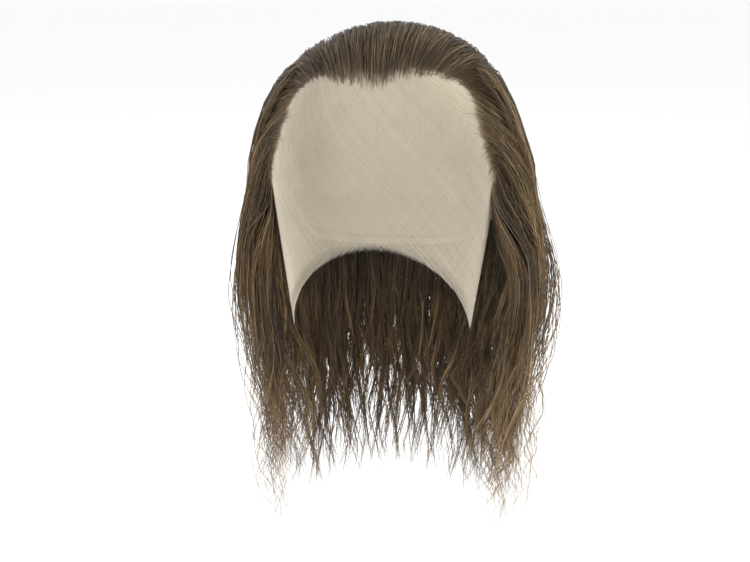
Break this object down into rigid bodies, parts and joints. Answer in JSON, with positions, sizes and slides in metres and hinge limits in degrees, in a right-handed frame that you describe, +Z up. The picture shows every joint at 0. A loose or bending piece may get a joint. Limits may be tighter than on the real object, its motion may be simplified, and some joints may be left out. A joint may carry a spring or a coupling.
{
  "type": "lace front wig",
  "caption": "Shoulder-length brown wig combed back from an M-shaped hairline, with a sheer untrimmed lace front and an open net cap that fits over a head.",
  "frame": {"origin": "inside of the cap at the crown, where the top of the wearer's head sits", "axes": "+Z up from the head, -Y the way the face looks, +X the right of the picture"},
  "size_m": [0.2212, 0.2154, 0.3762],
  "materials": {
    "cap_net": "open beige net, matt",
    "lace": "fine sheer beige lace, matt",
    "hair": "medium ash brown hair with a soft sheen"
  },
  "bodies": {
    "root": {"cap": "cap_net", "lace_front": "lace", "hair_top": "hair", "hair_left": "hair", "hair_right": "hair", "hair_back": "hair"}
  },
  "joints": []
}
